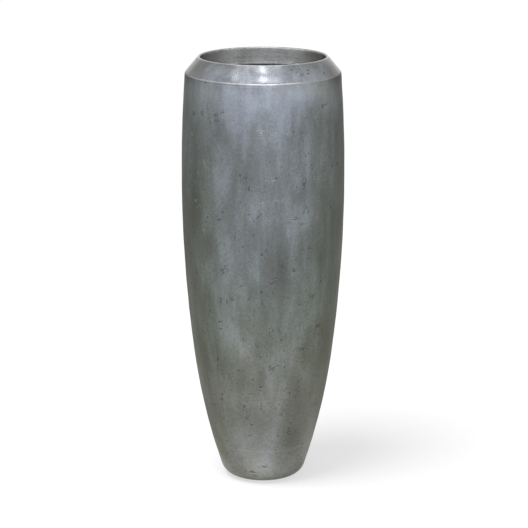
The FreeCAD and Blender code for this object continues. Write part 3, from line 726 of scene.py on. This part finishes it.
# Shelf: a flat aluminium ring that carries the liner, with four brackets welded to the wall under it.
# Both are left as they came from the mill, the ring with the fine circular lines of turning.
mill, tree, place = new_material("mill_aluminium")
finish = polish(tree, place)
flat = put(tree, "VectorMath", {0: place, 1: (1, 1, 0)}, operation="MULTIPLY").outputs[0]
radius = put(tree, "VectorMath", {0: flat}, operation="LENGTH").outputs["Value"]
turning = {"W": radius, "Scale": 1400, "Detail": 2}
lines = put(tree, "TexNoise", turning, noise_dimensions="1D").outputs["Fac"]
shade = summed(tree, 0.0, (lines, 0.5), (finish["Cloud"], 0.6))
colour = colour_ramp(tree, shade, (0.3, (0.42, 0.43, 0.44, 1)), (0.8, (0.68, 0.69, 0.7, 1)))
dull = summed(tree, 0.3, (finish["Mottle"], 0.2))
end_material(tree, colour, dull, 1.0, (lines, 0.2, 0.0003))
finish_node("shelf_ring", mill)
finish_node("shelf_brackets", mill)

# Shelf screws: four socket screws of zinc-plated steel.
# They pass through the shelf into its brackets and hold it down.
zinc, tree, place = new_material("zinc_plate")
finish = polish(tree, place)
shade = summed(tree, 0.0, (finish["Grain"], 0.3), (finish["Mottle"], 0.7))
colour = colour_ramp(tree, shade, (0.3, (0.4, 0.4, 0.38, 1)), (0.7, (0.62, 0.63, 0.65, 1)))
dull = summed(tree, 0.22, (finish["Mottle"], 0.25))
end_material(tree, colour, dull, 1.0)
finish_node("shelf_screws", zinc)

# Liner pot: a planting pot of black plastic, moulded in one piece, that hangs by its flange on the shelf.
# Its fine grain is worn smoother in places, and pale water marks and dust have dried on it.
plastic, tree, place = new_material("moulded_black_plastic")
scuff_grey = (0.12, 0.12, 0.115, 1)
finish = polish(tree, place)
dust = between(tree, finish["Cloud"], 0.42, 0.7)
scuff = between(tree, noise(tree, place, 240, 3, (0.15, 0.15, 1.6)), 0.6, 0.72)
shade = summed(tree, 0.0, (dust, 0.4), (finish["Mottle"], 0.4))
colour = colour_ramp(tree, shade, (0.15, (0.016, 0.016, 0.017, 1)), (0.85, (0.06, 0.058, 0.053, 1)))
scuffed = mixed(tree, times(tree, scuff, 0.35), colour, scuff_grey)
dull = summed(tree, 0.38, (finish["Mottle"], 0.15), (dust, 0.2))
end_material(tree, scuffed, dull, bumps=(finish["Grain"], 0.3, 0.0004))
finish_node("liner_pot", plastic)

# Handles: two bails of drawn steel wire, bent to shape, with the fine streaks of drawing along them.
# Their pins turn in the liner's lugs.
drawn, tree, place = new_material("drawn_wire")
finish = polish(tree, place)
streaks = noise(tree, place, 700, 3, (1, 0.08, 0.3))
shade = summed(tree, 0.0, (finish["Mottle"], 0.4), (streaks, 0.6))
colour = colour_ramp(tree, shade, (0.3, (0.36, 0.355, 0.345, 1)), (0.75, (0.62, 0.62, 0.62, 1)))
dull = summed(tree, 0.18, (streaks, 0.2))
end_material(tree, colour, dull, 1.0, (streaks, 0.2, 0.0002))
for node in ("left_handle_wire", "right_handle_wire"):
    finish_node(node, drawn)

# Grips: a black plastic sleeve with ribs for the fingers, moulded onto the straight of each handle.
# It is turned upright and then laid along the wire, which hangs down from the handle's pins.
handle_length = 0.082
grip_bore = 0.00205
grip_radius = 0.006
grip_half = 0.025
grip_round = 0.003
rib_count = 9
rib_pitch = 0.004
rib_slope = 0.0007
valley_width = 0.0012
valley_radius = 0.0053
end_radius = grip_radius - grip_round
end_level = grip_half - grip_round
ribs_start = -rib_count * rib_pitch / 2
ribs = []
for number in range(rib_count):
    level = ribs_start + number * rib_pitch
    ribs += [
        ((valley_radius, level + rib_slope), 2),
        ((valley_radius, level + rib_slope + valley_width), 1),
        ((grip_radius, level + 2 * rib_slope + valley_width), 2),
        ((grip_radius, level + rib_pitch), 1),
    ]
for joint in frame["joints"]:
    body = joint["child"]
    if body not in ("left_handle", "right_handle"):
        continue
    grip = turned_piece(body + "_ribbed_grip", (grip_bore, -grip_half), [
        ((end_radius, -grip_half), 1),
        ((grip_radius, -end_level), 6, (end_radius, -end_level)),
        ((grip_radius, ribs_start), 1),
        *ribs,
        ((grip_radius, end_level), 1),
        ((end_radius, grip_half), 6, (end_radius, end_level)),
        ((grip_bore, grip_half), 1),
        ((grip_bore, -grip_half), 1),
    ], 32)
    pin_x, pin_y, pin_z = joint["pos_m"]
    grip.rotation_euler = (math.radians(90), 0, 0)
    grip.location = (pin_x, pin_y, pin_z - handle_length)
    bpy.ops.object.transform_apply(location=True, rotation=True, scale=True)
    grip.data.materials.append(plastic)
    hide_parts(body + "_grip")
    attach(grip, body)

# Drain bung: a soft plug of black rubber, moulded with a knob to pull it by.
# It is pushed into the drain hole in the liner's floor.
finish_node("drain_bung", rubber)

# Floor: a plain white sheet, large enough to fill every view. Seen by eye or in the metal it is mostly its
# own white, so the shadow on it stays faint.
bpy.ops.object.select_all(action="DESELECT")
bpy.ops.mesh.primitive_plane_add(size=60, location=(0, 0, 0))
floor = bpy.context.object
floor.name = "floor"
white, tree, _ = new_material("white_floor")
paper = put(tree, "BsdfDiffuse", {"Color": (1, 1, 1, 1)})
glow = put(tree, "Emission", {"Color": (1, 1, 1, 1), "Strength": 1.0})
path = put(tree, "LightPath").outputs
mirrored = larger(tree, path["Is Glossy Ray"], path["Is Transmission Ray"])
share = summed(tree, 0.0, (mirrored, 0.4), (path["Is Camera Ray"], 0.62))
look = put(tree, "MixShader", {0: share, 1: paper.outputs[0], 2: glow.outputs[0]})
put(tree, "OutputMaterial", {"Surface": look.outputs[0]})
floor.data.materials.append(white)

# Grey cards out of the picture: two stand at the sides and two lie beside the foot. They glow dimly,
# brighter towards the front, and are seen only in reflections; the metal mirrors them along its left and
# right edges.
card_grey, tree, place = new_material("grey_card")
card_colour = (0.965, 0.97, 0.87, 1)
backwards = put(tree, "SeparateXYZ", {"Vector": place}).outputs["Y"]
brightness = between(tree, backwards, -0.5, 0.0, 0.85, 0.31)
board = put(tree, "Emission", {"Color": card_colour, "Strength": brightness})
put(tree, "OutputMaterial", {"Surface": board.outputs[0]})
for name, stand, size, lean in (
        ("left_card", (-0.6, 0.8, 0.55), (1.22, 2.3), 66),
        ("right_card", (0.6, 0.8, 0.55), (1.22, 2.3), -66),
        ("left_floor_card", (-0.62, 0.55, 0.002), (0.96, 1.6), 0),
        ("right_floor_card", (0.62, 0.55, 0.002), (0.96, 1.6), 0)):
    bpy.ops.object.select_all(action="DESELECT")
    bpy.ops.mesh.primitive_plane_add(size=1, location=stand)
    card = bpy.context.object
    card.name = name
    card.scale = (*size, 1)
    card.rotation_euler = (0, math.radians(lean), 0)
    card.visible_camera = False
    card.visible_diffuse = False
    card.visible_shadow = False
    card.data.materials.append(card_grey)

# Light: a broad soft sun from the left front for the faint shadow, a wide soft box behind the camera and a
# smaller one overhead, two small lamps for the spots on the collar, and a narrow one that looks into the
# mouth. The world is a white room that is dimmer as a light than it looks.
bpy.ops.object.light_add(type="SUN", location=(-2.0, -1.5, 4.0))
sun = bpy.context.object
sun.name = "soft_sun"
sun.rotation_euler = (math.radians(22), 0, math.radians(-50))
sun.data.energy = 2.3
sun.data.angle = math.radians(28)
sun.visible_glossy = False

for name, stand, tip, turn, size, power, tint in (
        ("front_box", (-0.1, -6.5, 1.85), 82, 0, (5.5, 1.5), 66, (0.84, 0.92, 1.0)),
        ("top_box", (-0.25, -0.7, 3.4), 12, 0, (2.4, 2.0), 17, (0.95, 0.95, 1.0)),
        ("middle_lamp", (0.0, -0.92, 3.2), 16, 0, (0.14, 0.17), 0.85, (1.0, 0.99, 0.96)),
        ("left_lamp", (-1.19, -0.54, 3.18), 16, -60, (0.14, 0.2), 0.42, (1.0, 0.98, 0.94))):
    bpy.ops.object.light_add(type="AREA", location=stand)
    lamp = bpy.context.object
    lamp.name = name
    lamp.rotation_euler = (math.radians(tip), 0, math.radians(turn))
    lamp.data.shape = "RECTANGLE"
    lamp.data.size, lamp.data.size_y = size
    lamp.data.energy = power
    lamp.data.color = tint
    lamp.visible_camera = False

bpy.ops.object.light_add(type="SPOT", location=(0, -2.2, 1.32))
mouth_lamp = bpy.context.object
mouth_lamp.name = "mouth_lamp"
mouth_lamp.rotation_euler = (math.radians(81.85), 0, 0)
mouth_lamp.data.energy = 190
mouth_lamp.data.color = (0.83, 0.92, 1.0)
mouth_lamp.data.spot_size = math.radians(10)
mouth_lamp.data.spot_blend = 0.5
mouth_lamp.data.shadow_soft_size = 0.08
mouth_lamp.visible_glossy = False

world = bpy.data.worlds.new("studio")
bpy.context.scene.world = world
world.use_nodes = True
tree = world.node_tree
tree.nodes.clear()
path = put(tree, "LightPath").outputs
seen = larger(tree, path["Is Camera Ray"], path["Is Glossy Ray"])
seen = larger(tree, seen, path["Is Transmission Ray"])
level = put(tree, "MapRange", {"Value": seen, "To Min": 0.36, "To Max": 1.0}).outputs[0]
backdrop = put(tree, "Background", {"Color": (1, 1, 1, 1), "Strength": level})
put(tree, "OutputWorld", {"Surface": backdrop.outputs[0]})

# Camera at the photograph's view: a long lens at eye level, nearly five metres in front of the planter and
# tipped down a little towards its middle.
camera_stand = (0.0022, -4.8, 1.698)
camera_tip = 13.894
bpy.ops.object.camera_add(location=camera_stand, rotation=(math.radians(90 - camera_tip), 0, 0))
camera = bpy.context.object
camera.data.sensor_width = 36
camera.data.lens = 144.3
bpy.context.scene.camera = camera
bpy.context.scene.view_settings.view_transform = "Standard"
